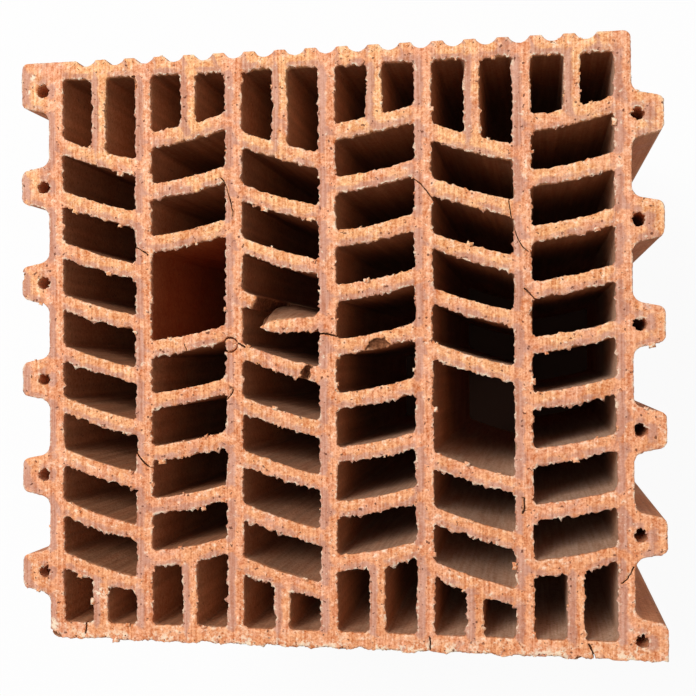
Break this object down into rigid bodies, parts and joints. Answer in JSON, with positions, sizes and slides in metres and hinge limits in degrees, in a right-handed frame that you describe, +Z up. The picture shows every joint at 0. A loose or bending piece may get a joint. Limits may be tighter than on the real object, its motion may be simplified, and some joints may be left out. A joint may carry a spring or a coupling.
{
  "type": "perforated clay brick",
  "caption": "Fired clay block with slanted web cells along its height, grip holes, toothed ends that interlock and fluted faces; laid in walls.",
  "frame": {"origin": "middle of the lower bed face, under the centre of the block's box", "axes": "+X along the wall from tooth to tooth, +Y through the wall's thickness, +Z up along the perforations"},
  "size_m": [0.26, 0.24, 0.238],
  "materials": {
    "fired_clay": "matte, wire-cut and unglazed"
  },
  "bodies": {
    "root": {"clay_block": "fired_clay"}
  },
  "joints": []
}
